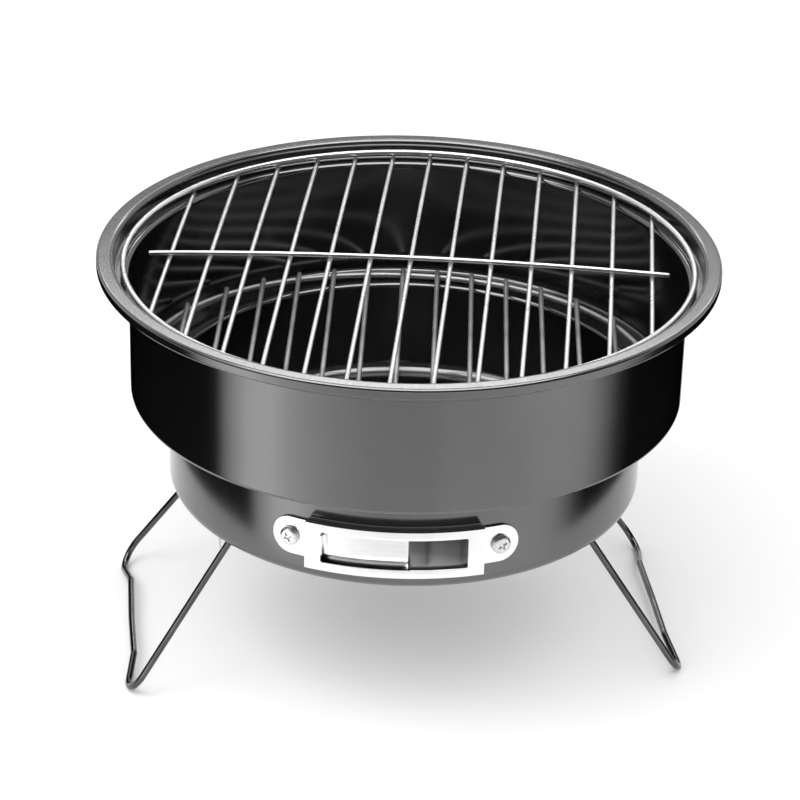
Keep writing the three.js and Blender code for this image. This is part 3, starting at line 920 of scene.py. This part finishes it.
def place_at_hinge(obj, side, end):
    """Puts a part made with X out, Y along the hinge and Z up at one end of a hinge."""
    pivot, axis, away = hinge(side)

    def move(point):
        return Vector((pivot.x, pivot.y, point.z)) + away * point.x + axis * point.y * end

    return outward(reshape(obj, move))


def make_bracket(label, side, end):
    """A folded bracket: plate, pin ear with a round end, and the lip that stops the leg."""
    top = FLOOR_UNDER - PIECE_GAP
    under = top - BRACKET_SHEET
    pin_z = hinge(side)[0].z
    outer = LIP_REACH + BRACKET_SHEET
    part = block(f"bracket_{label}", (-BRACKET_BACK, BRACKET_START, under),
                 (outer, BRACKET_END, top))
    profile = [(-EAR_HALF, under + SINK), (EAR_HALF, under + SINK)]
    profile += arc_points((0, pin_z), EAR_HALF, 0, -math.pi)
    ear = prism("ear", profile, BRACKET_EAR, BRACKET_EAR + BRACKET_SHEET)
    reshape(ear, lambda p: (p.x, p.z, p.y))
    combine(part, outward(ear), "UNION")
    lip = block("lip", (LIP_REACH, LIP_START, pin_z - LIP_DROP_BELOW_PIN),
                (outer, BRACKET_END, under + SINK))
    combine(part, lip, "UNION")
    pin_hole = drill(LEG_WIRE + 2 * HOLE_CLEARANCE)
    reshape(pin_hole, lambda p: (p.x, p.z + BRACKET_EAR, p.y + pin_z))
    combine(part, outward(pin_hole), "DIFFERENCE")
    rivet_hole = drill(RIVET_SHANK + 2 * HOLE_CLEARANCE)
    reshape(rivet_hole, lambda p: p + Vector((0, RIVET_AT, under)))
    combine(part, rivet_hole, "DIFFERENCE")
    bevel(part, 0.22, 3)
    place_at_hinge(part, side, end)
    return finish_piece(smooth(part), "zinc_plate", "bowl_body", f"leg_bracket_{label}")


def make_rivet(label, side, end):
    """A semi-tubular rivet: a domed head above the floor, a rolled end under the bracket."""
    head, shank = RIVET_HEAD / 2, RIVET_SHANK / 2
    above = FLOOR_TOP + PIECE_GAP
    below = FLOOR_UNDER - 2 * PIECE_GAP - BRACKET_SHEET
    dome = [(0, above + 1.4), (head * 0.55, above + 1.3, 2), (head, above + 0.35, 0.6),
            (head, above, 0.1)]
    rolled_end = [(head, below, 0.1), (head, below - 0.5, 0.5), (head * 0.6, below - 1.2, 0.5),
                  (head * 0.28, below - 0.9, 0.3), (0, below - 0.6)]
    profile = rounded([*dome, (shank, above), (shank, below), *rolled_end], 0.08)
    rivet = lathe(f"rivet_{label}", profile, 48)
    place_at_hinge(reshape(rivet, lambda p: p + Vector((0, RIVET_AT, 0))), side, end)
    return finish_piece(smooth(rivet), "zinc_plate", "bowl_body", f"bracket_rivet_{label}")


# ------------------------------------------------------------------ studio
FLOOR_HALF = 6.0
CARD_REACH = 250  # from the grill's axis, in mm
CARD_HEIGHT = 150
SKY_REACH = 30000  # so far off that it looks the same from every part of the grill

# the front card's strength at azimuths from -Y towards +X: it fades out at both sides and is
# brightest to the left, which gives the wall its tones
FRONT_GLOW = [
    (-140, 0), (-62, 0), (-57, 1.1), (-49, 2.2), (-41, 2.3), (-34, 1.75), (-27, 1.43), (-21, 1.24),
    (-15, 1.13), (-8, 1.0), (10, 1.0), (16, 1.1), (30, 1.17), (45, 1.35), (54, 1.35), (62, 1.2),
    (69, 0.74), (76, 0.14), (82, 0), (140, 0)]

# the camera: its place is in mm from the grill's axis and above the rim, its turns are radians
FOCAL_LENGTH = 130.5
CAMERA_DISTANCE = 1148.2
CAMERA_HEIGHT = 509.06
CAMERA_AZIMUTH = math.radians(1.6)
CAMERA_PAN = 0.0021
CAMERA_DIP = 0.469
CAMERA_ROLL = 0.0258


def emitter(name):
    """A glowing surface whose strength comes from the mesh's "glow" attribute."""
    material = bpy.data.materials.new(name)
    material.use_nodes = True
    tree = material.node_tree
    tree.nodes.clear()
    glow = tree.nodes.new("ShaderNodeAttribute")
    glow.attribute_name = "glow"
    light = tree.nodes.new("ShaderNodeEmission")
    tree.links.new(glow.outputs["Fac"], light.inputs["Strength"])
    out = tree.nodes.new("ShaderNodeOutputMaterial")
    tree.links.new(light.outputs["Emission"], out.inputs["Surface"])
    return material


def make_floor():
    half = FLOOR_HALF / MM
    floor = make_object("studio_floor", [(-half, -half, 0), (half, -half, 0), (half, half, 0),
                                         (-half, half, 0)], [[0, 1, 2, 3]])
    material, tree, bsdf = new_material("studio_paper")
    bsdf.inputs["Roughness"].default_value = 0.9
    bsdf.inputs["Specular IOR Level"].default_value = 0.1
    grain = noise_at(tree, coordinates(tree, (1, 1, 1)), 3, 2)
    tree.links.new(blended(tree, grain, (0.94, 0.94, 0.94), (0.97, 0.97, 0.97)),
                   bsdf.inputs["Base Color"])
    floor.data.materials.append(material)


def make_card(name, glow, rows):
    """A curved studio card round the grill, through rows of (reach, height) in mm. Its glow
    is a list of (azimuth, strength), in degrees from -Y towards +X, and runs smoothly between
    them. A card shows in reflections only: it casts no light or shadow on the scene."""
    stops = [azimuth for azimuth, _ in glow]
    steps = max(2, round((stops[-1] - stops[0]) / 3))
    points, strengths, faces = [], [], []
    for k in range(steps + 1):
        turn = stops[0] + (stops[-1] - stops[0]) * k / steps
        angle = math.radians(turn)
        for reach, height in rows:
            points.append((reach * math.sin(angle), -reach * math.cos(angle), height))
            strengths.append(float(np.interp(turn, stops, [level for _, level in glow])))
    count = len(rows)
    for k in range(steps):
        for row in range(count - 1):
            corner = k * count + row
            faces.append([corner, corner + count, corner + count + 1, corner + 1])
    card = make_object(name, points, faces)
    levels = card.data.attributes.new("glow", "FLOAT", "POINT")
    levels.data.foreach_set("value", strengths)
    card.data.materials.append(emitter(f"{name}_surface"))
    card.visible_camera = False
    card.visible_diffuse = False
    card.visible_shadow = False
    card.visible_transmission = False


def sky_rows(low, high, steps=6):
    """Rows for a card far away, from one elevation up to another, in degrees."""
    angles = [math.radians(low + (high - low) * k / steps) for k in range(steps + 1)]
    return [(SKY_REACH * math.cos(a), SKY_REACH * math.sin(a)) for a in angles]


def make_softbox(name, place, target, size, power):
    light = bpy.data.lights.new(name, "AREA")
    light.shape = "RECTANGLE"
    light.size, light.size_y = size
    light.energy = power
    obj = bpy.data.objects.new(name, light)
    bpy.context.scene.collection.objects.link(obj)
    obj.location = place
    obj.rotation_euler = (Vector(target) - Vector(place)).to_track_quat("-Z", "Y").to_euler()
    return obj


def make_world(strength):
    world = bpy.data.worlds.new("studio")
    bpy.context.scene.world = world
    world.use_nodes = True
    back = world.node_tree.nodes["Background"]
    back.inputs["Color"].default_value = (1, 1, 1, 1)
    back.inputs["Strength"].default_value = strength


def make_camera():
    """The camera stands 1.15 m in front of the grill and 0.7 m up, and looks down at it."""
    data = bpy.data.cameras.new("camera")
    data.lens = FOCAL_LENGTH
    data.sensor_width = 36
    camera = bpy.data.objects.new("camera", data)
    bpy.context.scene.collection.objects.link(camera)
    turn = Matrix.Rotation(CAMERA_AZIMUTH + CAMERA_PAN, 4, "Z")
    tilt = Matrix.Rotation(math.pi / 2 - CAMERA_DIP, 4, "X")
    roll = Matrix.Rotation(CAMERA_ROLL, 4, "Z")
    place = Vector((CAMERA_DISTANCE * math.sin(CAMERA_AZIMUTH),
                    -CAMERA_DISTANCE * math.cos(CAMERA_AZIMUTH), RIM_TOP + CAMERA_HEIGHT)) * MM
    camera.matrix_world = Matrix.Translation(place) @ turn @ tilt @ roll
    bpy.context.scene.camera = camera


def make_studio():
    """Two soft lights, and cards for the gloss: a bright strip of sky behind the rim and one
    overhead, and dimmer stretches behind and in front that keep the bowl dark."""
    make_floor()
    make_world(1.0)
    make_softbox("key", (-0.9, -0.5, 1.3), (0, 0, 0.1), (0.9, 0.9), 6)
    fill = make_softbox("fill", (0, -1.2, 1.2), (0, 0, 0), (2, 2), 14)
    fill.visible_glossy = False
    make_card("front_card", FRONT_GLOW, [(CARD_REACH, 0), (CARD_REACH, CARD_HEIGHT)])
    make_card("strip", [(155, 9), (205, 9)], sky_rows(26.6, 28.6))
    make_card("rear_flag", [(140, 0.6), (220, 0.6)], sky_rows(12, 25.6))
    make_card("overhead", [(-180, 5), (180, 5)], sky_rows(60, 89))
    make_card("front_flag", [(-100, 0.1), (100, 0.1)], sky_rows(2, 58))
    bpy.context.scene.view_settings.view_transform = "Standard"


# ------------------------------------------------------------------ the whole grill
materials = make_materials()
make_camera()
make_studio()
make_bowl()
make_vent_frame()
make_vent_shutter()
for side_name in SIDES:
    make_screw(side_name)
    make_nut(side_name)
make_grate("cooking_grid", "grid", "grid_chrome", "cooking_grid", GRID_CROWN, 0)
make_grate("charcoal_grate", "grate", "grate_wire", "charcoal_grate", 0, GRATE_CURL)
for side_name, side_sign in SIDES.items():
    make_leg(side_name, side_sign)
for side_sign, end_sign in corners():
    spot_name = f"{'left' if side_sign < 0 else 'right'}_{'front' if end_sign < 0 else 'rear'}"
    make_bracket(spot_name, side_sign, end_sign)
    make_rivet(spot_name, side_sign, end_sign)
